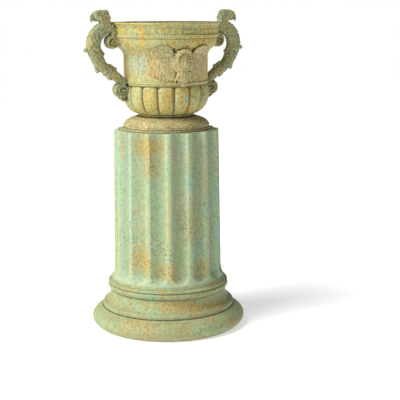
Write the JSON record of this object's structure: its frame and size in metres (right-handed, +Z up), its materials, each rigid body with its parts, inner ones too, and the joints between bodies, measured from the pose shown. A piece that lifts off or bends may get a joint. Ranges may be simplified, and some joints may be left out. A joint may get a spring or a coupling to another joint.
{
  "type": "garden urn on pedestal",
  "caption": "Two-handled open garden urn with gadrooned bowl, winged relief masks and scroll handles on a fluted column pedestal, verdigris patina.",
  "frame": {"origin": "floor level on the column's axis, under the middle of the plinth", "axes": "+Z up along the column; handles along X; relief masks on the -Y (front) and +Y (back) sides"},
  "size_m": [0.609, 0.5599, 1.138],
  "materials": {
    "base_patina": "matt olive and green patina with rust flecks",
    "shaft_patina": "pale mint verdigris wash with grey and ochre streaks",
    "bowl_patina": "yellow-green verdigris with ochre and blue-green patches",
    "handle_patina": "olive patina, darker in the recesses",
    "mask_patina": "tan and dull pink patina over green",
    "zinc_steel": "dull zinc plating"
  },
  "bodies": {
    "pedestal": {"plinth_ring": "base_patina", "base_moulding": "base_patina", "astragal_ring": "base_patina", "fluted_shaft": "shaft_patina", "cap_plate": "shaft_patina", "tie_bar": "zinc_steel", "tie_rod": "zinc_steel", "tie_rod_nuts": "zinc_steel", "tie_rod_washers": "zinc_steel"},
    "urn": {"urn_foot": "bowl_patina", "neck_collar": "bowl_patina", "foot_bridge": "zinc_steel", "lower_bowl": "bowl_patina", "gadroon_ring": "bowl_patina", "bowl_wall": "bowl_patina", "rim_ring": "bowl_patina", "left_handle": "handle_patina", "right_handle": "handle_patina", "front_mask": "mask_patina", "back_mask": "mask_patina", "handle_bolts": "zinc_steel", "handle_washers": "zinc_steel", "mask_rivets": "zinc_steel", "bowl_bolt": "zinc_steel", "bowl_nut": "zinc_steel", "bowl_washers": "zinc_steel"}
  },
  "joints": [
    {"name": "urn_lift", "type": "slide", "parent": "pedestal", "child": "urn", "axis": [0, 0, 1], "range_m": [0, 0.25]}
  ]
}
